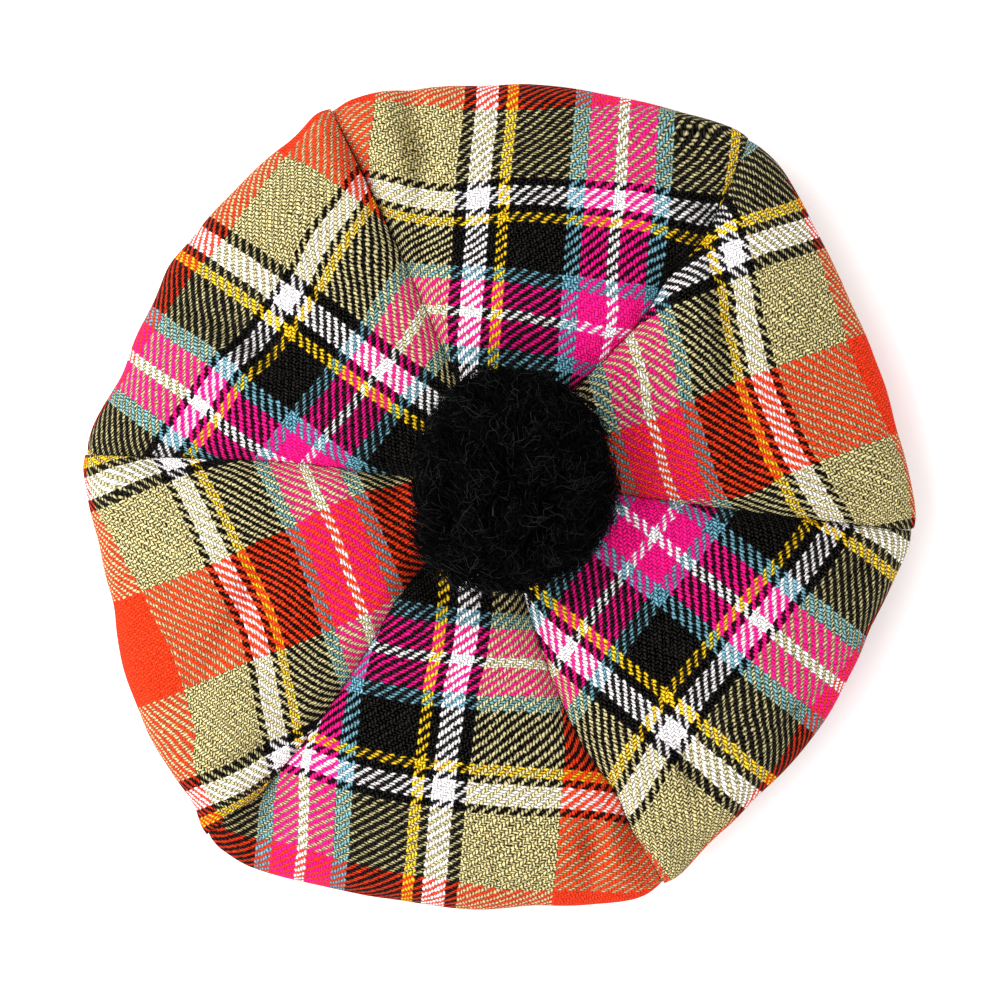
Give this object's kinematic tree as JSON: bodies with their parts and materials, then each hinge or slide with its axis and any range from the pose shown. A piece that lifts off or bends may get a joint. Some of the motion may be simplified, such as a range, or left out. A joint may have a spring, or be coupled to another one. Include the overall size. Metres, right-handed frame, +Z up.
{
  "type": "tam o'shanter",
  "caption": "Wide round tam o'shanter cap sewn from cloth gores in a tartan check, with a plain headband and a black yarn pompom on top.",
  "frame": {"origin": "on the surface that the hat lies on, under the middle of its outline", "axes": "+Z up out of the crown through the pompom; +Y towards the gore opposite the one between the two lower seams, the top of the picture; +X to the picture's right"},
  "size_m": [0.2789, 0.2775, 0.1168],
  "materials": {
    "tartan_cloth": "matt wool twill woven in a tartan check",
    "band_cloth": "matt wool twill woven in a tartan check, doubled",
    "pompom_yarn": "matt cut wool yarn"
  },
  "bodies": {
    "root": {"gore_1": "tartan_cloth", "gore_2": "tartan_cloth", "gore_3": "tartan_cloth", "gore_4": "tartan_cloth", "gore_5": "tartan_cloth", "gore_6": "tartan_cloth", "headband": "band_cloth", "pompom": "pompom_yarn"}
  },
  "joints": []
}
